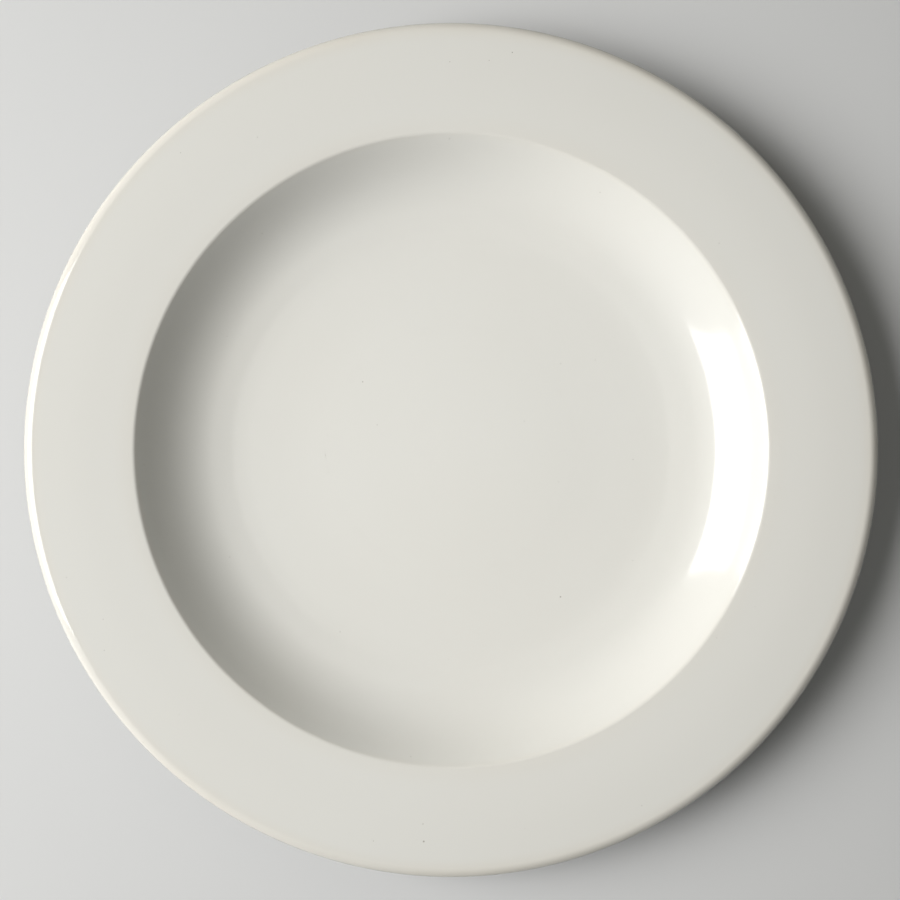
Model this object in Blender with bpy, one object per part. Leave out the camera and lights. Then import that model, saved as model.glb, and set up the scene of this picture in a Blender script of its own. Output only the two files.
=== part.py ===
"""A round chop plate: one fired clay body with its foot ring, and the two glaze coats fired onto it."""

import math
from types import SimpleNamespace

import bmesh
import bpy
from mathutils import Matrix, Vector

# Finished plate over the glaze (metres): the lip parts its well from its rim
PLATE_DIAMETER = 0.320
RIM_WIDTH = 0.0415
WELL_DEPTH = 0.0181

# Well: a level floor, a faint dish round it, a crisp border, an apron, and a wall that steepens to the lip
DISH_WIDTH = 0.0190
DISH_ANGLE = math.radians(2.0)
DISH_RADIUS = 0.560
BORDER_WIDTH = 0.0059
BORDER_ANGLE = math.radians(4.3)
BORDER_RADIUS = 0.056
APRON_WIDTH = 0.0166
APRON_ANGLE = math.radians(8.7)
APRON_RADIUS = 0.036
LOWER_WALL_ANGLE = math.radians(37.8)
LOWER_WALL_RADIUS = 0.041
UPPER_WALL_WIDTH = 0.0065
UPPER_WALL_ANGLE = math.radians(44.4)
UPPER_WALL_RADIUS = 0.079
LIP_ROUND = 0.0022

# Rim: rises outward, a little less towards its rounded edge
RIM_INNER_ANGLE = math.radians(4.0)
RIM_OUTER_ANGLE = math.radians(2.5)
RIM_CROWN_RADIUS = 0.410
EDGE_TOP_ROUND = 0.0037
EDGE_BOTTOM_ROUND = 0.0009

# Thickness of the plate and its underside
FLOOR_THICKNESS = 0.0046
WALL_THICKNESS = 0.0056
UNDER_LIP_ROUND = 0.016

# Foot ring: its toe, set in from where the apron starts, is what the plate stands on
FOOT_SETBACK = 0.0020
FOOT_WIDTH = 0.0052
FOOT_HEIGHT = 0.0024
FOOT_FLARE = 0.0005
FOOT_FILLET = 0.0012
FOOT_TOE_ROUND = 0.0007

# Glaze: thickness, clearance from the clay, and the bare band that it leaves above the toe
GLAZE_THICKNESS = 0.0004
GLAZE_CLEARANCE = 0.0003
BARE_FOOT_HEIGHT = 0.0009

# Fineness of the turned surfaces
TURN_STEPS = 64
ARC_TOLERANCE = 0.00015
SHARP_ANGLE = math.radians(50.0)
WELD_DISTANCE = 0.000001

# Finishes: colour and roughness
GLAZE_WHITE = (0.74, 0.73, 0.68, 1.0)
GLAZE_ROUGHNESS = 0.1
FIRED_CLAY = (0.62, 0.56, 0.46, 1.0)
CLAY_ROUGHNESS = 0.8


def clear_scene():
    """Remove every object that the scene starts with."""
    for item in list(bpy.data.objects):
        bpy.data.objects.remove(item, do_unlink=True)


def make_material(name, colour, roughness):
    """A Principled material of a substance that is not metal."""
    material = bpy.data.materials.new(name)
    material.use_nodes = True
    shader = material.node_tree.nodes["Principled BSDF"]
    shader.inputs["Base Color"].default_value = colour
    shader.inputs["Roughness"].default_value = roughness
    shader.inputs["Metallic"].default_value = 0.0
    return material


def turn_at(before, here, after):
    """The signed angle by which a chain of points turns at the middle one, positive to the left."""
    way_in = here - before
    way_out = after - here
    return math.atan2(way_in.cross(way_out), way_in.dot(way_out))


def tangent_lengths(points, roundings):
    """How far before and after each corner its rounding runs, limited by the straights beside it."""
    wanted = [0.0] * len(points)
    for index in range(1, len(points) - 1):
        turn = turn_at(*points[index - 1:index + 2])
        wanted[index] = roundings[index] * math.tan(abs(turn) / 2)
    lengths = list(wanted)
    for index in range(len(points) - 1):
        both = wanted[index] + wanted[index + 1]
        straight = (points[index + 1] - points[index]).length
        if both > straight:
            lengths[index] = min(lengths[index], wanted[index] * straight / both)
            lengths[index + 1] = min(lengths[index + 1], wanted[index + 1] * straight / both)
    return lengths


def arc_points(before, here, after, tangent):
    """Points along the rounding of one corner, from straight to straight, as fine as the tolerance asks."""
    turn = turn_at(before, here, after)
    way_in = (here - before).normalized()
    start = here - way_in * tangent
    to_centre = Vector((-way_in.y, way_in.x)) * tangent / math.tan(turn / 2)
    flatness = min(1.0, ARC_TOLERANCE / to_centre.length)
    steps = max(1, math.ceil(abs(turn) / (2 * math.acos(1 - flatness))))
    return [
        start + to_centre - Matrix.Rotation(turn * step / steps, 2) @ to_centre
        for step in range(steps + 1)
    ]


def rounded(corners):
    """The points of a chain of corners, each a point and its rounding, with the roundings as arcs."""
    points = [point for point, rounding in corners]
    tangents = tangent_lengths(points, [rounding for point, rounding in corners])
    chain = points[:1]
    for index in range(1, len(points) - 1):
        if tangents[index] > WELD_DISTANCE:
            chain += arc_points(*points[index - 1:index + 2], tangents[index])
        else:
            chain.append(points[index])
    return without_repeats(chain + points[-1:])


def without_repeats(chain):
    """The chain without points that fall on the one before."""
    kept = chain[:1]
    for point in chain[1:]:
        if (point - kept[-1]).length > WELD_DISTANCE:
            kept.append(point)
    return kept


def inset(chain, distance):
    """The chain moved into the clay on its right-hand side, with every straight kept parallel to itself."""
    ways = [(after - before).normalized() for before, after in zip(chain, chain[1:])]
    inward = [Vector((way.y, -way.x)) for way in ways]
    befores = inward[:1] + inward
    afters = inward + inward[-1:]
    return [
        point + (before + after) * distance / (1 + before.dot(after))
        for point, before, after in zip(chain, befores, afters)
    ]


def height_on_line(point, slope, radius):
    """Height at a radius on the straight line that runs through a point at a slope angle."""
    return point.y + (radius - point.x) * math.tan(slope)


def meeting_point(point, slope, other_point, other_slope):
    """Where two straight lines of the profile meet, each given by a point and a slope angle."""
    height_gap = height_on_line(other_point, other_slope, point.x) - point.y
    radius = point.x + height_gap / (math.tan(slope) - math.tan(other_slope))
    return Vector((radius, height_on_line(point, slope, radius)))


def along(point, width, slope):
    """The point reached from another by going a width outward at a slope angle."""
    return point + Vector((width, width * math.tan(slope)))


def below(point, slope):
    """The point that lies the wall's thickness square under a surface of a slope angle."""
    return point + Vector((math.sin(slope), -math.cos(slope))) * WALL_THICKNESS


def upper_points():
    """Corner points of the upper side, from the edge of the level floor to the outer edge."""
    floor_height = FOOT_HEIGHT + FLOOR_THICKNESS
    lip = Vector((PLATE_DIAMETER / 2 - RIM_WIDTH, floor_height + WELL_DEPTH))
    knee = along(lip, -UPPER_WALL_WIDTH, UPPER_WALL_ANGLE)
    dish_rise = DISH_WIDTH * math.tan(DISH_ANGLE)
    border_rise = BORDER_WIDTH * math.tan(BORDER_ANGLE)
    apron_rise = APRON_WIDTH * math.tan(APRON_ANGLE)
    lower_wall_rise = knee.y - apron_rise - border_rise - dish_rise - floor_height
    wall_foot = along(knee, -lower_wall_rise / math.tan(LOWER_WALL_ANGLE), LOWER_WALL_ANGLE)
    apron_foot = along(wall_foot, -APRON_WIDTH, APRON_ANGLE)
    border_foot = along(apron_foot, -BORDER_WIDTH, BORDER_ANGLE)
    floor_edge = along(border_foot, -DISH_WIDTH, DISH_ANGLE)
    crown = along(lip, RIM_WIDTH / 2, RIM_INNER_ANGLE)
    edge = along(crown, RIM_WIDTH / 2, RIM_OUTER_ANGLE)
    return SimpleNamespace(
        floor_edge=floor_edge, border_foot=border_foot, apron_foot=apron_foot, wall_foot=wall_foot,
        knee=knee, lip=lip, crown=crown, edge=edge)


def toe_radii():
    """Outer and inner radius of the foot ring's toe."""
    outer = upper_points().apron_foot.x - FOOT_SETBACK
    return outer, outer - FOOT_WIDTH


def under_points():
    """Corner points of the underside, from below the outer edge to the root of the foot ring."""
    upper = upper_points()
    root = Vector((toe_radii()[0] + FOOT_FLARE, FOOT_HEIGHT))
    under_rim = below(upper.crown, RIM_OUTER_ANGLE)
    under_upper_wall = below(upper.knee, UPPER_WALL_ANGLE)
    under_lower_wall = below(upper.knee, LOWER_WALL_ANGLE)
    return SimpleNamespace(
        edge=Vector((upper.edge.x, height_on_line(under_rim, RIM_OUTER_ANGLE, upper.edge.x))),
        lip=meeting_point(under_upper_wall, UPPER_WALL_ANGLE, under_rim, RIM_OUTER_ANGLE),
        knee=meeting_point(under_upper_wall, UPPER_WALL_ANGLE, under_lower_wall, LOWER_WALL_ANGLE),
        wall_foot=meeting_point(under_lower_wall, LOWER_WALL_ANGLE, root, APRON_ANGLE),
        root=root)


def finished_face():
    """The glazed surface from the floor's centre over the rim and back under it to the bare foot."""
    upper = upper_points()
    under = under_points()
    glaze_end_radius = toe_radii()[0] + FOOT_FLARE * BARE_FOOT_HEIGHT / FOOT_HEIGHT
    return rounded([
        (Vector((0.0, upper.floor_edge.y)), 0.0),
        (upper.floor_edge, DISH_RADIUS),
        (upper.border_foot, BORDER_RADIUS),
        (upper.apron_foot, APRON_RADIUS),
        (upper.wall_foot, LOWER_WALL_RADIUS),
        (upper.knee, UPPER_WALL_RADIUS),
        (upper.lip, LIP_ROUND),
        (upper.crown, RIM_CROWN_RADIUS),
        (upper.edge, EDGE_TOP_ROUND),
        (under.edge, EDGE_BOTTOM_ROUND),
        (under.lip, UNDER_LIP_ROUND),
        (under.knee, UPPER_WALL_RADIUS + WALL_THICKNESS),
        (under.wall_foot, LOWER_WALL_RADIUS + WALL_THICKNESS),
        (under.root, FOOT_FILLET),
        (Vector((glaze_end_radius, BARE_FOOT_HEIGHT)), 0.0),
    ])


def finished_base():
    """The glazed surface inside the foot ring, from above its bare toe to the centre of the base."""
    toe_radius = toe_radii()[1]
    glaze_end_radius = toe_radius - FOOT_FLARE * BARE_FOOT_HEIGHT / FOOT_HEIGHT
    return rounded([
        (Vector((glaze_end_radius, BARE_FOOT_HEIGHT)), 0.0),
        (Vector((toe_radius - FOOT_FLARE, FOOT_HEIGHT)), FOOT_FILLET),
        (Vector((0.0, FOOT_HEIGHT)), 0.0),
    ])


def lathe(name, outline, material, parent):
    """Turn an outline that starts and ends on the axis into one closed, smooth-shaded object."""
    form = bmesh.new()
    points = [form.verts.new((point.x, 0.0, point.y)) for point in outline]
    lines = [form.edges.new(pair) for pair in zip(points, points[1:])]
    bmesh.ops.spin(
        form, geom=points + lines, cent=(0.0, 0.0, 0.0), axis=(0.0, 0.0, 1.0),
        angle=math.tau, steps=TURN_STEPS, use_merge=True)
    bmesh.ops.remove_doubles(form, verts=form.verts, dist=WELD_DISTANCE)
    bmesh.ops.recalc_face_normals(form, faces=form.faces)
    mesh = bpy.data.meshes.new(name)
    form.to_mesh(mesh)
    form.free()
    mesh.materials.append(material)
    mesh.shade_smooth()
    mesh.set_sharp_from_angle(angle=SHARP_ANGLE)
    item = bpy.data.objects.new(name, mesh)
    item.parent = parent
    bpy.context.scene.collection.objects.link(item)


def make_clay_body(parent):
    """The fired clay: a coat's depth inside the finished surface, and down to the bare toe of the foot."""
    coat_depth = GLAZE_THICKNESS + GLAZE_CLEARANCE
    face = inset(finished_face(), coat_depth)
    base = inset(finished_base(), coat_depth)
    outer_toe_radius, inner_toe_radius = toe_radii()
    toe = rounded([
        (face[-1], 0.0),
        (Vector((outer_toe_radius - coat_depth, 0.0)), FOOT_TOE_ROUND),
        (Vector((inner_toe_radius + coat_depth, 0.0)), FOOT_TOE_ROUND),
        (base[0], 0.0),
    ])
    clay = make_material("fired_clay", FIRED_CLAY, CLAY_ROUGHNESS)
    lathe("clay_body", without_repeats(face + toe + base), clay, parent)


def make_face_glaze(parent):
    """The glass coat over the upper side, the edge and the underside outside the foot ring."""
    outside = finished_face()
    inside = inset(outside, GLAZE_THICKNESS)
    glaze = make_material("face_glaze", GLAZE_WHITE, GLAZE_ROUGHNESS)
    lathe("face_glaze", outside + inside[::-1], glaze, parent)


def make_base_glaze(parent):
    """The glass coat on the base, inside the foot ring."""
    outside = finished_base()
    inside = inset(outside, GLAZE_THICKNESS)
    glaze = make_material("base_glaze", GLAZE_WHITE, GLAZE_ROUGHNESS)
    lathe("base_glaze", outside[::-1] + inside, glaze, parent)


def main():
    """Build the plate around its axis, standing on the ground plane."""
    clear_scene()
    plate = bpy.data.objects.new("chop_plate", None)
    bpy.context.scene.collection.objects.link(plate)
    make_clay_body(plate)
    make_face_glaze(plate)
    make_base_glaze(plate)


if __name__ == "__main__":
    main()
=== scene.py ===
"""A round white chop plate: its clay body, its two coats of glaze, and a plain studio stage."""

import math
from collections import namedtuple
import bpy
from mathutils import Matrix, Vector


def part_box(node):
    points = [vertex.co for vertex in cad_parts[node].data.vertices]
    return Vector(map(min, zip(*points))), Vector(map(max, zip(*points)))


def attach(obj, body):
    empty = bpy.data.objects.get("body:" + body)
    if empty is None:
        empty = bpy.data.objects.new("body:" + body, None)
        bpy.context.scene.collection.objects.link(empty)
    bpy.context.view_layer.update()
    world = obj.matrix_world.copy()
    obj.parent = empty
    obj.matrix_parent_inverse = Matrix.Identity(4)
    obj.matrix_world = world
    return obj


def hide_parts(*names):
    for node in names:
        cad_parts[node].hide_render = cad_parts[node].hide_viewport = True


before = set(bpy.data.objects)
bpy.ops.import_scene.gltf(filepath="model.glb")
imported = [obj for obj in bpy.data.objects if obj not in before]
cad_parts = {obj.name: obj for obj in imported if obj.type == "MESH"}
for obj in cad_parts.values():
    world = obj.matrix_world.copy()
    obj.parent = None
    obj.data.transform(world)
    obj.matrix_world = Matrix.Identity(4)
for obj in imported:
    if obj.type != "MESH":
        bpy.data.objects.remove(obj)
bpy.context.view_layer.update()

from types import SimpleNamespace

import bpy
from bpy.props import FloatProperty, FloatVectorProperty, IntProperty, PointerProperty
from mathutils import Euler, Vector

bl_info = {
    "name": "Chop plate",
    "version": (1, 0, 0),
    "blender": (4, 5, 0),
    "location": "3D View > Sidebar > Chop Plate",
    "description": "Models a round glazed serving plate piece by piece, with a plain studio stage",
    "category": "Add Mesh",
}

# What the frame gives: the finished plate's box, and the body that every piece rides on
FACE_LOW, FACE_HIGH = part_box("face_glaze")
FINISHED_DIAMETER = FACE_HIGH.x - FACE_LOW.x
RIM_TOP = FACE_HIGH.z
BODY = "root"

# Drawing: the first sketch, the distance within which points are one, and the bend that still looks smooth
SKETCH_SIZE = 0.001
WELD_DISTANCE = 0.000001
SHARP_ANGLE = math.radians(40.0)

# The picture in pixels: its width, the plate's width as it would show at the rim's top, and its centre
PICTURE_PIXELS = 900.0
PLATE_PIXELS = 862.0
PLATE_CENTRE_PIXEL = (451.2, 450.0)

# Sockets of a Mix node for colours, whose names repeat
MIX_FACTOR, MIX_FIRST, MIX_SECOND = 0, 6, 7
MIX_RESULT = 2

# Uneven patches: waves in a metre, fineness, and the stretch of the noise that is spread from low to high
Patches = namedtuple("Patches", "scale detail start end low high")
GLAZE_BREAK = Patches(scale=22.0, detail=4.0, start=0.25, end=0.75, low=0.6, high=1.0)
GLAZE_CLOUDS = Patches(scale=9.0, detail=3.0, start=0.3, end=0.7, low=0.0, high=0.10)
GLAZE_GLOSS = Patches(scale=35.0, detail=2.0, start=0.2, end=0.8, low=0.85, high=1.15)
CLAY_MOTTLE = Patches(scale=70.0, detail=4.0, start=0.35, end=0.7, low=0.0, high=0.35)
FLOOR_MATTNESS = Patches(scale=60.0, detail=2.0, start=0.3, end=0.7, low=0.85, high=0.95)

# Scattered grains: cells in a metre, core and rim in a cell, the draws for none and for a full one, shade
Grains = namedtuple("Grains", "scale core rim none full shade")
GLAZE_SPECKS = Grains(scale=70.0, core=0.008, rim=0.016, none=0.90, full=0.96, shade=0.6)
CLAY_GRAINS = Grains(scale=1400.0, core=0.12, rim=0.30, none=0.5, full=0.8, shade=0.7)

# The glaze's skin: waves in a metre, how much waves and pinholes weigh against the peel, and depth in metres
PEEL_SCALE = 160.0
WAVE_SCALE = 26.0
WAVE_WEIGHT = 3.0
PINHOLE_WEIGHT = 2.0
GLAZE_SKIN_DEPTH = 0.00001
GLAZE_SKIN_STRENGTH = 1.0

# The bare clay's skin: waves in a metre, fineness, depth in metres and strength
CLAY_SKIN_SCALE = 900.0
CLAY_SKIN_DETAIL = 4.0
CLAY_SKIN_DEPTH = 0.0001
CLAY_SKIN_STRENGTH = 0.6

# The floor: its shine, and its paint where only the backdrop shows
FLOOR_SHINE = 0.1
BLACK = (0.0, 0.0, 0.0, 1.0)

# Heights of a ray between which reflections change from the backdrop to the room's light
BACKDROP_FADE = (0.06, 0.16)

# A pinhole's dark core as a part of its radius, and how dark it is
PINHOLE_CORE = 0.4
PINHOLE_SHADE = 0.8

# Pinholes on the plate's upper side: place across and up from its centre, and radius
PINHOLES = (
    (-0.0102, -0.1455, 0.00045),
    (0.0426, -0.0572, 0.00040),
    (-0.0345, 0.0266, 0.00030),
    (0.0227, 0.1477, 0.00030),
    (-0.0105, -0.1391, 0.00025),
)


def length(name, description, default):
    """A property that holds a length in metres."""
    return FloatProperty(
        name=name, description=description, default=default,
        min=0.0, precision=4, subtype="DISTANCE", unit="LENGTH")


def angle(name, description, degrees):
    """A property that holds an angle, given in degrees."""
    return FloatProperty(
        name=name, description=description, default=math.radians(degrees),
        subtype="ANGLE", unit="ROTATION")


def share(name, description, default):
    """A property that holds a part of one."""
    return FloatProperty(
        name=name, description=description, default=default, min=0.0, max=1.0, subtype="FACTOR")


def colour(name, description, default):
    """A property that holds an opaque colour."""
    return FloatVectorProperty(
        name=name, description=description, default=(*default, 1.0), size=4, min=0.0, max=1.0,
        subtype="COLOR")


class PlateSizes(bpy.types.PropertyGroup):
    """Sizes of the finished plate, over the glaze."""

    plate_diameter: length("Plate diameter", "Across the outer edge", FINISHED_DIAMETER)
    rim_width: length("Rim width", "From the lip out to the edge", 0.0415)
    well_depth: length("Well depth", "From the lip down to the level floor", 0.0181)
    dish_width: length("Dish width", "Of the ring that rises faintly round the level floor", 0.0190)
    dish_angle: angle("Dish angle", "Slope of the dish", 2.0)
    dish_radius: length("Dish radius", "Bend from the level floor to the dish", 0.56)
    border_width: length("Border width", "Of the ring that starts crisply round the dish", 0.0059)
    border_angle: angle("Border angle", "Slope of the border", 4.3)
    border_radius: length("Border radius", "Bend from the dish to the border", 0.056)
    apron_width: length("Apron width", "Of the ring between border and wall", 0.0166)
    apron_angle: angle("Apron angle", "Slope of the apron", 8.7)
    apron_radius: length("Apron radius", "Bend from the border to the apron", 0.036)
    lower_wall_angle: angle("Lower wall angle", "Slope of the wall above the apron", 37.8)
    lower_wall_radius: length("Lower wall radius", "Bend from the apron to the lower wall", 0.041)
    upper_wall_width: length("Upper wall width", "Of the ring below the lip", 0.0065)
    upper_wall_angle: angle("Upper wall angle", "Slope of the wall below the lip", 44.4)
    upper_wall_radius: length("Upper wall radius", "Bend from the lower to the upper wall", 0.079)
    lip_round: length("Lip round", "Rounding of the lip", 0.0022)
    rim_inner_angle: angle("Rim inner angle", "Slope of the rim beside the lip", 4.0)
    rim_outer_angle: angle("Rim outer angle", "Slope of the rim beside the edge", 2.5)
    rim_crown_radius: length("Rim crown radius", "Bend along the middle of the rim", 0.410)
    edge_top_round: length("Edge top round", "Upper rounding of the outer edge", 0.0045)
    edge_bottom_round: length("Edge bottom round", "Lower rounding of the outer edge", 0.0009)
    floor_thickness: length("Floor thickness", "From the base to the floor", 0.0046)
    wall_thickness: length("Wall thickness", "Square through the wall and the rim", 0.0056)
    under_lip_round: length("Under lip round", "Bend of the underside below the lip", 0.016)
    foot_setback: length("Foot setback", "From the start of the apron in to the foot ring's toe", 0.0020)
    foot_width: length("Foot width", "Of the foot ring at its toe", 0.0052)
    foot_height: length("Foot height", "From the toe up to the base", 0.0024)
    foot_flare: length("Foot flare", "How much each side of the foot ring widens upward", 0.0005)
    foot_fillet: length("Foot fillet", "Rounding at the root of the foot ring", 0.0012)
    foot_toe_round: length("Foot toe round", "Rounding of the toe", 0.0007)
    glaze_thickness: length("Glaze thickness", "Of both coats", 0.0004)
    glaze_clearance: length("Glaze clearance", "Between clay and coat", 0.0003)
    bare_foot_height: length("Bare foot height", "Of the band above the toe without glaze", 0.0009)
    ring_spacing: length("Ring spacing", "Widest ring of faces on a straight of the outline", 0.006)
    arc_tolerance: length("Arc tolerance", "Most that a face may stand off a rounding", 0.000003)
    turn_steps: IntProperty(
        name="Turn steps", description="Faces round the plate", default=256, min=3)


class PlateFinish(bpy.types.PropertyGroup):
    """Colours and gloss of the glaze and of the bare clay, and how the glaze breaks."""

    glaze_colour: colour("Glaze", "Where the coat is thick", (0.785, 0.775, 0.725))
    thin_glaze_colour: colour("Thin glaze", "Where the clay warms it", (0.745, 0.700, 0.610))
    pinhole_colour: colour("Pinhole", "Of the specks in the glaze", (0.33, 0.30, 0.25))
    glaze_roughness: share("Glaze roughness", "Of the fired glass", 0.11)
    edge_break: share("Edge break", "How thin the glaze is at the outer edge", 0.75)
    lip_break: share("Lip break", "How thin the glaze is on the lip", 0.20)
    break_reach: length("Break reach", "From the edge inward and from the lip outward", 0.009)
    clay_colour: colour("Clay", "Of the bare foot", (0.60, 0.53, 0.42))
    clay_grain_colour: colour("Clay grain", "Of the darker grains in it", (0.40, 0.33, 0.24))
    clay_roughness: share("Clay roughness", "Of the bare foot", 0.85)


class StageSettings(bpy.types.PropertyGroup):
    """The floor, the light and the camera."""

    floor_size: length("Floor size", "Side of the square floor", 12.0)
    floor_lit_reach: length("Floor lit reach", "Radius within which it shows light and shadow", 0.30)
    floor_fade_reach: length("Floor fade reach", "Radius past which it looks like the backdrop", 1.10)
    floor_colour: colour("Floor", "As the camera and reflections see it", (0.70, 0.70, 0.69))
    floor_bounce_colour: colour("Floor bounce", "As soft light sees it", (0.10, 0.10, 0.10))
    backdrop_colour: colour("Backdrop", "Of the room behind the floor", (0.70, 0.70, 0.69))
    room_left_colour: colour("Room left", "Of the soft light from the left", (0.010, 0.010, 0.010))
    room_right_colour: colour("Room right", "Of the soft light from the right", (0.020, 0.020, 0.020))
    room_back_colour: colour("Room back", "Of the soft light from the back", (0.287, 0.283, 0.250))
    room_front_colour: colour("Room front", "Of the soft light from the front", (0.184, 0.189, 0.186))
    room_top_colour: colour("Room top", "Of the soft light from above", (0.008, 0.008, 0.008))
    lamp_azimuth: angle("Lamp azimuth", "Round the plate, from the right of the picture", 179.6)
    lamp_elevation: angle("Lamp elevation", "Above the floor", 43.3)
    lamp_tilt: angle("Lamp tilt", "How far below the level the soft box faces", 13.1)
    lamp_distance: length("Lamp distance", "From the plate's centre", 1.569)
    lamp_width: length("Lamp width", "Level side of the soft box", 1.06)
    lamp_height: length("Lamp height", "Upright side of the soft box", 1.072)
    lamp_power: FloatProperty(
        name="Lamp power", description="Of the soft box", default=33.4, min=0.0,
        subtype="POWER", unit="POWER")
    skirt_height: length("Skirt height", "Of the dim panel below the soft box", 0.45)
    skirt_power: FloatProperty(
        name="Skirt power", description="Of the dim panel below the soft box", default=2.0, min=0.0,
        subtype="POWER", unit="POWER")
    top_lamp_height: length("Top lamp height", "Above the floor", 1.6)
    top_lamp_radius: length("Top lamp radius", "Of the lamp itself", 0.1)
    top_lamp_reach: length("Top lamp reach", "Radius of its soft pool of light on the plate", 0.189)
    top_lamp_power: FloatProperty(
        name="Top lamp power", description="Of the soft lamp straight above", default=13.9, min=0.0,
        subtype="POWER", unit="POWER")
    camera_height: length("Camera height", "Above the top of the rim", 0.4023)


def turn_at(before, here, after):
    """The angle by which an outline turns at the middle one of three points, positive to the left."""
    way_in = here - before
    way_out = after - here
    return math.atan2(way_in.cross(way_out), way_in.dot(way_out))


def height_on_line(point, slope, radius):
    """Height at a radius on the straight line that runs through a point at a slope angle."""
    return point.y + (radius - point.x) * math.tan(slope)


def meeting_point(point, slope, other_point, other_slope):
    """Where two straight lines of the outline meet, each given by a point and a slope angle."""
    height_gap = height_on_line(other_point, other_slope, point.x) - point.y
    radius = point.x + height_gap / (math.tan(slope) - math.tan(other_slope))
    return Vector((radius, height_on_line(point, slope, radius)))


def along(point, width, slope):
    """The point reached from another by going a width outward at a slope angle."""
    return point + Vector((width, width * math.tan(slope)))


def below(point, slope, thickness):
    """The point that lies a thickness square under a surface of a slope angle."""
    return point + Vector((math.sin(slope), -math.cos(slope))) * thickness


def upper_points(sizes):
    """Corner points of the upper side, from the edge of the level floor to the outer edge."""
    floor_height = sizes.foot_height + sizes.floor_thickness
    lip = Vector((sizes.plate_diameter / 2 - sizes.rim_width, floor_height + sizes.well_depth))
    knee = along(lip, -sizes.upper_wall_width, sizes.upper_wall_angle)
    dish_rise = sizes.dish_width * math.tan(sizes.dish_angle)
    border_rise = sizes.border_width * math.tan(sizes.border_angle)
    apron_rise = sizes.apron_width * math.tan(sizes.apron_angle)
    lower_wall_rise = knee.y - apron_rise - border_rise - dish_rise - floor_height
    wall_foot = along(knee, -lower_wall_rise / math.tan(sizes.lower_wall_angle), sizes.lower_wall_angle)
    apron_foot = along(wall_foot, -sizes.apron_width, sizes.apron_angle)
    border_foot = along(apron_foot, -sizes.border_width, sizes.border_angle)
    floor_edge = along(border_foot, -sizes.dish_width, sizes.dish_angle)
    crown = along(lip, sizes.rim_width / 2, sizes.rim_inner_angle)
    edge = along(crown, sizes.rim_width / 2, sizes.rim_outer_angle)
    return SimpleNamespace(
        floor_edge=floor_edge, border_foot=border_foot, apron_foot=apron_foot, wall_foot=wall_foot,
        knee=knee, lip=lip, crown=crown, edge=edge)


def toe_radii(sizes):
    """Outer and inner radius of the foot ring's toe."""
    outer = upper_points(sizes).apron_foot.x - sizes.foot_setback
    return outer, outer - sizes.foot_width


def under_points(sizes):
    """Corner points of the underside, from below the outer edge to the root of the foot ring."""
    upper = upper_points(sizes)
    thickness = sizes.wall_thickness
    root = Vector((toe_radii(sizes)[0] + sizes.foot_flare, sizes.foot_height))
    rim_slope = sizes.rim_outer_angle
    upper_slope = sizes.upper_wall_angle
    lower_slope = sizes.lower_wall_angle
    under_rim = below(upper.crown, rim_slope, thickness)
    under_upper_wall = below(upper.knee, upper_slope, thickness)
    under_lower_wall = below(upper.knee, lower_slope, thickness)
    return SimpleNamespace(
        edge=Vector((upper.edge.x, height_on_line(under_rim, rim_slope, upper.edge.x))),
        lip=meeting_point(under_upper_wall, upper_slope, under_rim, rim_slope),
        knee=meeting_point(under_upper_wall, upper_slope, under_lower_wall, lower_slope),
        wall_foot=meeting_point(under_lower_wall, lower_slope, root, sizes.apron_angle),
        root=root)


def face_corners(sizes):
    """Corners of the glazed face, from the floor's centre over the rim and under it to the bare foot."""
    upper = upper_points(sizes)
    under = under_points(sizes)
    bare_flare = sizes.foot_flare * sizes.bare_foot_height / sizes.foot_height
    return [
        (Vector((0.0, upper.floor_edge.y)), 0.0),
        (upper.floor_edge, sizes.dish_radius),
        (upper.border_foot, sizes.border_radius),
        (upper.apron_foot, sizes.apron_radius),
        (upper.wall_foot, sizes.lower_wall_radius),
        (upper.knee, sizes.upper_wall_radius),
        (upper.lip, sizes.lip_round),
        (upper.crown, sizes.rim_crown_radius),
        (upper.edge, sizes.edge_top_round),
        (under.edge, sizes.edge_bottom_round),
        (under.lip, sizes.under_lip_round),
        (under.knee, sizes.upper_wall_radius + sizes.wall_thickness),
        (under.wall_foot, sizes.lower_wall_radius + sizes.wall_thickness),
        (under.root, sizes.foot_fillet),
        (Vector((toe_radii(sizes)[0] + bare_flare, sizes.bare_foot_height)), 0.0),
    ]


def base_corners(sizes):
    """Corners of the glazed base inside the foot ring, from above its bare toe to the base's centre."""
    toe_radius = toe_radii(sizes)[1]
    bare_flare = sizes.foot_flare * sizes.bare_foot_height / sizes.foot_height
    return [
        (Vector((toe_radius - bare_flare, sizes.bare_foot_height)), 0.0),
        (Vector((toe_radius - sizes.foot_flare, sizes.foot_height)), sizes.foot_fillet),
        (Vector((0.0, sizes.foot_height)), 0.0),
    ]


def inset_rounding(rounding, depth, bends_right):
    """The rounding that stays concentric when its corner is moved to the outline's right."""
    if rounding == 0.0:
        return 0.0
    return max(0.0, rounding - depth) if bends_right else rounding + depth


def inset(corners, depth):
    """The corners moved into the clay on the outline's right, with their roundings kept concentric."""
    points = [point for point, rounding in corners]
    ways = [(after - before).normalized() for before, after in zip(points, points[1:])]
    inward = [Vector((way.y, -way.x)) for way in ways]
    befores = inward[:1] + inward
    afters = inward + inward[-1:]
    moved = []
    for (point, rounding), before, after in zip(corners, befores, afters):
        place = point + (before + after) * depth / (1 + before.dot(after))
        bends_right = before.cross(after) < 0
        moved.append((place, inset_rounding(rounding, depth, bends_right)))
    return moved


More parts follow.
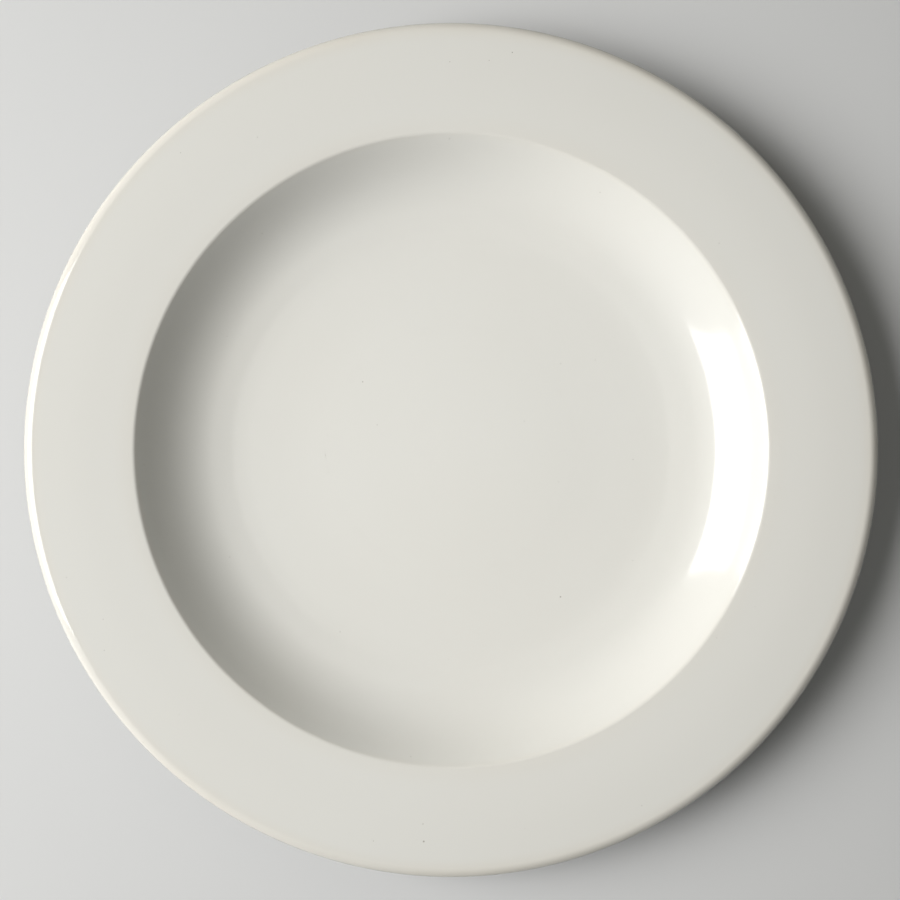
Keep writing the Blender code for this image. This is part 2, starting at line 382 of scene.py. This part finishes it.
def tangent_lengths(corners):
    """How far before and after each corner its rounding runs, limited by the straights beside it."""
    points = [point for point, rounding in corners]
    wanted = [0.0] * len(corners)
    for index in range(1, len(corners) - 1):
        turn = turn_at(*points[index - 1:index + 2])
        wanted[index] = corners[index][1] * math.tan(abs(turn) / 2)
    lengths = list(wanted)
    for index in range(len(corners) - 1):
        both = wanted[index] + wanted[index + 1]
        straight = (points[index + 1] - points[index]).length
        if both > straight:
            lengths[index] = min(lengths[index], wanted[index] * straight / both)
            lengths[index + 1] = min(lengths[index + 1], wanted[index + 1] * straight / both)
    return lengths


def start_outline(name, point):
    """Add a small plane, draw it together into one vertex and set that at the outline's first point."""
    bpy.ops.object.select_all(action="DESELECT")
    bpy.ops.mesh.primitive_plane_add(size=SKETCH_SIZE)
    piece = bpy.context.object
    piece.name = name
    piece.data.name = name
    bpy.ops.object.mode_set(mode="EDIT")
    bpy.ops.mesh.select_all(action="SELECT")
    bpy.ops.mesh.merge(type="CENTER")
    bpy.ops.transform.translate(value=(point.x, 0.0, point.y))
    return piece


def draw_line(start, end, ring_spacing):
    """Extrude the outline's last vertex along a straight, in strides no longer than a ring of faces."""
    way = end - start
    if way.length < WELD_DISTANCE:
        return
    steps = math.ceil(way.length / ring_spacing)
    for step in range(steps):
        bpy.ops.mesh.extrude_vertices_move(
            TRANSFORM_OT_translate={"value": (way.x / steps, 0.0, way.y / steps)})


def draw_rounding(before, here, after, tangent, tolerance):
    """Spin the outline's last vertex round the centre of a corner's rounding."""
    turn = turn_at(before, here, after)
    way_in = (here - before).normalized()
    to_centre = Vector((-way_in.y, way_in.x)) * tangent / math.tan(turn / 2)
    centre = here - way_in * tangent + to_centre
    flatness = min(1.0, tolerance / to_centre.length)
    steps = math.ceil(abs(turn) / (2 * math.acos(1 - flatness)))
    bpy.ops.mesh.spin(
        steps=steps, angle=turn, center=(centre.x, 0.0, centre.y), axis=(0.0, 1.0, 0.0))


def draw_outline(name, corners, sizes):
    """Draw a piece's outline as straights and roundings, from the axis and back to it."""
    points = [point for point, rounding in corners]
    tangents = tangent_lengths(corners)
    piece = start_outline(name, points[0])
    here = points[0]
    for index in range(1, len(points)):
        way = (points[index] - points[index - 1]).normalized()
        draw_line(here, points[index] - way * tangents[index], sizes.ring_spacing)
        here = points[index]
        if tangents[index] > WELD_DISTANCE:
            draw_rounding(*points[index - 1:index + 2], tangents[index], sizes.arc_tolerance)
            way_on = (points[index + 1] - points[index]).normalized()
            here = points[index] + way_on * tangents[index]
    return piece


def turn_piece(name, corners, sizes):
    """Draw a piece's outline and spin it round the plate's axis into a closed, smooth piece."""
    piece = draw_outline(name, corners, sizes)
    bpy.ops.mesh.select_all(action="SELECT")
    bpy.ops.mesh.spin(
        steps=sizes.turn_steps, angle=math.tau, center=(0.0, 0.0, 0.0), axis=(0.0, 0.0, 1.0))
    bpy.ops.mesh.select_all(action="SELECT")
    bpy.ops.mesh.remove_doubles(threshold=WELD_DISTANCE)
    bpy.ops.mesh.normals_make_consistent(inside=False)
    bpy.ops.object.mode_set(mode="OBJECT")
    bpy.ops.object.shade_smooth_by_angle(angle=SHARP_ANGLE)
    return piece


def coat_corners(outside, sizes):
    """Corners of a glaze coat: its finished side, the bead where it ends, and its inner side."""
    inside = inset(outside, sizes.glaze_thickness)
    bead = sizes.glaze_thickness / 2
    ends = [index for index in (0, -1) if outside[index][0].x > 0.0]
    for corners in (outside, inside):
        for index in ends:
            corners[index] = (corners[index][0], bead)
    if 0 in ends:
        return inside[::-1] + outside
    return outside + inside[::-1]


def clay_corners(sizes):
    """Corners of the clay body: a coat's depth inside the finished plate, and down to the bare toe."""
    depth = sizes.glaze_thickness + sizes.glaze_clearance
    face = inset(face_corners(sizes), depth)
    base = inset(base_corners(sizes), depth)
    outer_radius, inner_radius = toe_radii(sizes)
    toe = [
        (Vector((outer_radius - depth, 0.0)), sizes.foot_toe_round),
        (Vector((inner_radius + depth, 0.0)), sizes.foot_toe_round),
    ]
    return face + toe + base


def finish_piece(piece, node, material):
    """Give a piece its material and its place on the frame, and hide the part that it stands for."""
    piece.data.materials.append(material)
    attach(piece, BODY)
    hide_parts(node)


def add_node(tree, kind, inputs=None, **settings):
    """A shader node with its settings, and with each input either fed by a socket or set to a value."""
    node = tree.nodes.new(kind)
    for name, value in settings.items():
        setattr(node, name, value)
    for key, value in (inputs or {}).items():
        if isinstance(value, bpy.types.NodeSocket):
            tree.links.new(value, node.inputs[key])
        else:
            node.inputs[key].default_value = value
    return node


def new_material(name):
    """A material with its node tree and its Principled shader."""
    material = bpy.data.materials.new(name)
    material.use_nodes = True
    return material, material.node_tree, material.node_tree.nodes["Principled BSDF"]


def noise(tree, place, scale, detail=2.0):
    """A soft cloud of values between zero and one."""
    inputs = {"Vector": place, "Scale": scale, "Detail": detail}
    return add_node(tree, "ShaderNodeTexNoise", inputs).outputs["Fac"]


def ramp(tree, value, start, end, low=0.0, high=1.0):
    """A value brought smoothly from low at the start to high at the end."""
    inputs = {"Value": value, "From Min": start, "From Max": end, "To Min": low, "To Max": high}
    node = add_node(tree, "ShaderNodeMapRange", inputs, interpolation_type="SMOOTHSTEP")
    return node.outputs["Result"]


def maths(tree, operation, first, second):
    """One operation on two values."""
    return add_node(tree, "ShaderNodeMath", {0: first, 1: second}, operation=operation).outputs[0]


def blend_colours(tree, factor, first, second):
    """A colour between two others."""
    inputs = {MIX_FACTOR: factor, MIX_FIRST: first, MIX_SECOND: second}
    return add_node(tree, "ShaderNodeMix", inputs, data_type="RGBA").outputs[MIX_RESULT]


def patches(tree, place, pattern):
    """Soft patches of a value."""
    cloud = noise(tree, place, pattern.scale, pattern.detail)
    return ramp(tree, cloud, pattern.start, pattern.end, pattern.low, pattern.high)


def scatter(tree, place, grains, dimensions):
    """Round grains in some cells of a loose grid, and zero elsewhere."""
    inputs = {"Vector": place, "Scale": grains.scale}
    cells = add_node(tree, "ShaderNodeTexVoronoi", inputs, voronoi_dimensions=dimensions).outputs
    near = ramp(tree, cells["Distance"], grains.core, grains.rim, grains.shade, 0.0)
    draw = add_node(tree, "ShaderNodeSeparateColor", {0: cells["Color"]}).outputs[0]
    return maths(tree, "MULTIPLY", near, ramp(tree, draw, grains.none, grains.full))


def add_skin(tree, shader, height, strength, depth):
    """Fine bumps on a shader's surface."""
    inputs = {"Height": height, "Strength": strength, "Distance": depth}
    bump = add_node(tree, "ShaderNodeBump", inputs)
    tree.links.new(bump.outputs["Normal"], shader.inputs["Normal"])


def flat_place(tree, place):
    """The place on the plate seen from above, without its height."""
    inputs = {0: place, 1: (1.0, 1.0, 0.0)}
    return add_node(tree, "ShaderNodeVectorMath", inputs, operation="MULTIPLY").outputs["Vector"]


def thin_glaze(tree, place, flat, sizes, finish):
    """How thin the glaze lies: it breaks on the outer edge and on the lip, unevenly."""
    radius = add_node(tree, "ShaderNodeVectorMath", {0: flat}, operation="LENGTH").outputs["Value"]
    edge = sizes.plate_diameter / 2
    lip = edge - sizes.rim_width
    on_edge = ramp(tree, radius, edge - finish.break_reach, edge, 0.0, finish.edge_break)
    lip_rise = ramp(tree, radius, lip - sizes.lip_round, lip, 0.0, finish.lip_break)
    lip_fall = ramp(tree, radius, lip, lip + finish.break_reach, 1.0, 0.0)
    on_lip = maths(tree, "MULTIPLY", lip_rise, lip_fall)
    breaks = maths(tree, "ADD", on_edge, on_lip)
    uneven = maths(tree, "MULTIPLY", breaks, patches(tree, place, GLAZE_BREAK))
    return maths(tree, "ADD", uneven, patches(tree, place, GLAZE_CLOUDS))


def pinhole_mask(tree, flat, spots):
    """How dark the pinholes and iron specks in the glaze are, and zero elsewhere."""
    mask = scatter(tree, flat, GLAZE_SPECKS, "2D")
    for across, up, radius in spots:
        spot = add_node(
            tree, "ShaderNodeVectorMath", {0: flat, 1: (across, up, 0.0)}, operation="DISTANCE")
        shade = ramp(tree, spot.outputs["Value"], PINHOLE_CORE * radius, radius, PINHOLE_SHADE, 0.0)
        mask = maths(tree, "MAXIMUM", mask, shade)
    return mask


def make_glaze(name, spots, sizes, finish):
    """Glossy off-white glass with clouds, pinholes and an orange-peel skin, warmer where it breaks."""
    material, tree, shader = new_material(name)
    place = add_node(tree, "ShaderNodeTexCoord").outputs["Object"]
    flat = flat_place(tree, place)
    thin = thin_glaze(tree, place, flat, sizes, finish)
    body = blend_colours(tree, thin, finish.glaze_colour[:], finish.thin_glaze_colour[:])
    pinholes = pinhole_mask(tree, flat, spots)
    speckled = blend_colours(tree, pinholes, body, finish.pinhole_colour[:])
    tree.links.new(speckled, shader.inputs["Base Color"])
    gloss = maths(tree, "MULTIPLY", patches(tree, place, GLAZE_GLOSS), finish.glaze_roughness)
    tree.links.new(gloss, shader.inputs["Roughness"])
    waves = maths(tree, "MULTIPLY", noise(tree, place, WAVE_SCALE), WAVE_WEIGHT)
    peel = maths(tree, "ADD", noise(tree, place, PEEL_SCALE), waves)
    skin = maths(tree, "SUBTRACT", peel, maths(tree, "MULTIPLY", pinholes, PINHOLE_WEIGHT))
    add_skin(tree, shader, skin, GLAZE_SKIN_STRENGTH, GLAZE_SKIN_DEPTH)
    return material


def make_bare_clay(finish):
    """Fired clay without glaze: mottled, with dark grains that are open pores, and a gritty skin."""
    material, tree, shader = new_material("bare_clay")
    place = add_node(tree, "ShaderNodeTexCoord").outputs["Object"]
    grains = scatter(tree, place, CLAY_GRAINS, "3D")
    dark = maths(tree, "MAXIMUM", patches(tree, place, CLAY_MOTTLE), grains)
    mottled = blend_colours(tree, dark, finish.clay_colour[:], finish.clay_grain_colour[:])
    tree.links.new(mottled, shader.inputs["Base Color"])
    shader.inputs["Roughness"].default_value = finish.clay_roughness
    grit = noise(tree, place, CLAY_SKIN_SCALE, CLAY_SKIN_DETAIL)
    skin = maths(tree, "SUBTRACT", grit, grains)
    add_skin(tree, shader, skin, CLAY_SKIN_STRENGTH, CLAY_SKIN_DEPTH)
    return material


def background_rays(tree):
    """Masks of the rays from the camera, and of those off a reflection or through a see-through surface."""
    path = add_node(tree, "ShaderNodeLightPath").outputs
    reflected = maths(tree, "MAXIMUM", path["Is Glossy Ray"], path["Is Transmission Ray"])
    return path["Is Camera Ray"], reflected


def make_floor_paint(stage):
    """Pale paint that shows light and shadow round the plate, and fades into the backdrop further off.

    Soft light sees it darker, so that it lights the plate only a little.
    """
    material, tree, shader = new_material("floor_paint")
    camera, reflected = background_rays(tree)
    seen = maths(tree, "MAXIMUM", camera, reflected)
    place = add_node(tree, "ShaderNodeTexCoord").outputs["Object"]
    radius = add_node(tree, "ShaderNodeVectorMath", {0: place}, operation="LENGTH").outputs["Value"]
    fade = ramp(tree, radius, stage.floor_lit_reach, stage.floor_fade_reach)
    far = maths(tree, "MULTIPLY", seen, fade)
    paint = blend_colours(tree, seen, stage.floor_bounce_colour[:], stage.floor_colour[:])
    tree.links.new(blend_colours(tree, far, paint, BLACK), shader.inputs["Base Color"])
    shader.inputs["Emission Color"].default_value = stage.backdrop_colour[:]
    tree.links.new(far, shader.inputs["Emission Strength"])
    tree.links.new(patches(tree, place, FLOOR_MATTNESS), shader.inputs["Roughness"])
    shader.inputs["Specular IOR Level"].default_value = FLOOR_SHINE
    return material


def room_light(tree, way, stage):
    """The soft light from each side of the room and from above, added up for one way to look."""
    sides = (
        ((-1.0, 0.0, 0.0), stage.room_left_colour),
        ((1.0, 0.0, 0.0), stage.room_right_colour),
        ((0.0, 1.0, 0.0), stage.room_back_colour),
        ((0.0, -1.0, 0.0), stage.room_front_colour),
        ((0.0, 0.0, 1.0), stage.room_top_colour),
    )
    light = (0.0, 0.0, 0.0)
    for side, side_colour in sides:
        facing = add_node(tree, "ShaderNodeVectorMath", {0: way, 1: side}, operation="DOT_PRODUCT")
        amount = maths(tree, "MAXIMUM", facing.outputs["Value"], 0.0)
        inputs = {0: amount, 1: side_colour[:3], 2: light}
        total = add_node(tree, "ShaderNodeVectorMath", inputs, operation="MULTIPLY_ADD")
        light = total.outputs["Vector"]
    return light


def make_room(stage):
    """Soft light from all round, with a pale backdrop for the camera and low reflections."""
    room = bpy.data.worlds.new("room")
    room.use_nodes = True
    tree = room.node_tree
    camera, reflected = background_rays(tree)
    way = add_node(tree, "ShaderNodeTexCoord").outputs["Generated"]
    height = add_node(tree, "ShaderNodeSeparateXYZ", {0: way}).outputs["Z"]
    low_reflected = maths(tree, "MULTIPLY", reflected, ramp(tree, height, *BACKDROP_FADE, 1.0, 0.0))
    seen = maths(tree, "MAXIMUM", camera, low_reflected)
    light = blend_colours(tree, seen, room_light(tree, way, stage), stage.backdrop_colour[:])
    tree.links.new(light, tree.nodes["Background"].inputs["Color"])
    bpy.context.scene.world = room


def make_floor(stage):
    """A wide square floor under the plate."""
    bpy.ops.object.select_all(action="DESELECT")
    bpy.ops.mesh.primitive_plane_add(size=stage.floor_size)
    floor = bpy.context.object
    floor.name = "floor"
    floor.data.materials.append(make_floor_paint(stage))


def make_panel(name, middle, turn, size, power):
    """One lit rectangle of the soft box."""
    bpy.ops.object.light_add(type="AREA", location=middle, rotation=turn)
    lamp = bpy.context.object
    lamp.name = name
    lamp.data.shape = "RECTANGLE"
    lamp.data.size, lamp.data.size_y = size
    lamp.data.energy = power


def make_soft_box(stage):
    """One tall soft box beside the plate, nearly upright, with a dim skirt that goes on below it."""
    level = stage.lamp_distance * math.cos(stage.lamp_elevation)
    middle = Vector((
        level * math.cos(stage.lamp_azimuth),
        level * math.sin(stage.lamp_azimuth),
        stage.lamp_distance * math.sin(stage.lamp_elevation),
    ))
    turn = Euler((math.pi / 2 - stage.lamp_tilt, 0.0, stage.lamp_azimuth + math.pi / 2))
    upright = turn.to_matrix() @ Vector((0.0, 1.0, 0.0))
    skirt_middle = middle - upright * (stage.lamp_height + stage.skirt_height) / 2
    box_size = (stage.lamp_width, stage.lamp_height)
    skirt_size = (stage.lamp_width, stage.skirt_height)
    make_panel("soft_box", middle, turn, box_size, stage.lamp_power)
    make_panel("soft_skirt", skirt_middle, turn, skirt_size, stage.skirt_power)


def make_top_lamp(stage):
    """A weak soft lamp straight above, which fades out towards the plate's edge."""
    bpy.ops.object.light_add(type="SPOT", location=(0.0, 0.0, stage.top_lamp_height))
    lamp = bpy.context.object
    lamp.name = "top_lamp"
    lamp.visible_glossy = False
    lamp.data.spot_size = 2 * math.atan(stage.top_lamp_reach / (stage.top_lamp_height - RIM_TOP))
    lamp.data.spot_blend = 1.0
    lamp.data.shadow_soft_size = stage.top_lamp_radius
    lamp.data.energy = stage.top_lamp_power


def make_camera(stage, sizes):
    """A camera straight above the plate, framed as in the picture."""
    metres_per_pixel = sizes.plate_diameter / PLATE_PIXELS
    middle = PICTURE_PIXELS / 2
    across = (middle - PLATE_CENTRE_PIXEL[0]) * metres_per_pixel
    up = (PLATE_CENTRE_PIXEL[1] - middle) * metres_per_pixel
    place = (across, up, RIM_TOP + stage.camera_height)
    bpy.ops.object.camera_add(location=place, rotation=(0.0, 0.0, 0.0))
    camera = bpy.context.object
    camera.name = "overhead_camera"
    camera.data.angle = 2 * math.atan(middle * metres_per_pixel / stage.camera_height)
    bpy.context.scene.camera = camera


class MakeClayBody(bpy.types.Operator):
    """Turn the fired clay body with its foot ring"""

    bl_idname = "chop_plate.clay_body"
    bl_label = "Clay Body"

    def execute(self, context):
        plate = context.scene.chop_plate
        piece = turn_piece("plate_clay_body", clay_corners(plate), plate)
        finish_piece(piece, "clay_body", make_bare_clay(context.scene.chop_plate_finish))
        return {"FINISHED"}


class MakeFaceGlaze(bpy.types.Operator):
    """Turn the glaze coat over the upper side, the edge and the underside"""

    bl_idname = "chop_plate.face_glaze"
    bl_label = "Face Glaze"

    def execute(self, context):
        plate = context.scene.chop_plate
        piece = turn_piece("plate_face_glaze", coat_corners(face_corners(plate), plate), plate)
        glaze = make_glaze("face_glaze", PINHOLES, plate, context.scene.chop_plate_finish)
        finish_piece(piece, "face_glaze", glaze)
        return {"FINISHED"}


class MakeBaseGlaze(bpy.types.Operator):
    """Turn the glaze coat on the base inside the foot ring"""

    bl_idname = "chop_plate.base_glaze"
    bl_label = "Base Glaze"

    def execute(self, context):
        plate = context.scene.chop_plate
        piece = turn_piece("plate_base_glaze", coat_corners(base_corners(plate), plate), plate)
        glaze = make_glaze("base_glaze", (), plate, context.scene.chop_plate_finish)
        finish_piece(piece, "base_glaze", glaze)
        return {"FINISHED"}


class MakeStage(bpy.types.Operator):
    """Set up the floor, the room, the soft box, the top lamp and the camera"""

    bl_idname = "chop_plate.stage"
    bl_label = "Stage"

    def execute(self, context):
        stage = context.scene.chop_plate_stage
        make_floor(stage)
        make_room(stage)
        make_soft_box(stage)
        make_top_lamp(stage)
        make_camera(stage, context.scene.chop_plate)
        context.scene.view_settings.view_transform = "Standard"
        return {"FINISHED"}


class ChopPlatePanel(bpy.types.Panel):
    """The pieces of the plate and its stage, in the order in which they are made"""

    bl_idname = "VIEW3D_PT_chop_plate"
    bl_label = "Chop Plate"
    bl_space_type = "VIEW_3D"
    bl_region_type = "UI"
    bl_category = "Chop Plate"

    def draw(self, context):
        for operator in OPERATORS:
            self.layout.operator(operator.bl_idname)


GROUPS = {
    "chop_plate": PlateSizes,
    "chop_plate_finish": PlateFinish,
    "chop_plate_stage": StageSettings,
}
OPERATORS = (MakeStage, MakeClayBody, MakeFaceGlaze, MakeBaseGlaze)


def register():
    """Make the settings, the operators and the panel known."""
    for name, group in GROUPS.items():
        bpy.utils.register_class(group)
        setattr(bpy.types.Scene, name, PointerProperty(type=group))
    for operator in OPERATORS:
        bpy.utils.register_class(operator)
    bpy.utils.register_class(ChopPlatePanel)


def unregister():
    """Take the panel, the operators and the settings away again."""
    bpy.utils.unregister_class(ChopPlatePanel)
    for operator in reversed(OPERATORS):
        bpy.utils.unregister_class(operator)
    for name, group in GROUPS.items():
        delattr(bpy.types.Scene, name)
        bpy.utils.unregister_class(group)


def main():
    """Make the stage and every piece."""
    register()
    bpy.ops.chop_plate.stage()
    bpy.ops.chop_plate.clay_body()
    bpy.ops.chop_plate.face_glaze()
    bpy.ops.chop_plate.base_glaze()


if __name__ == "__main__":
    main()
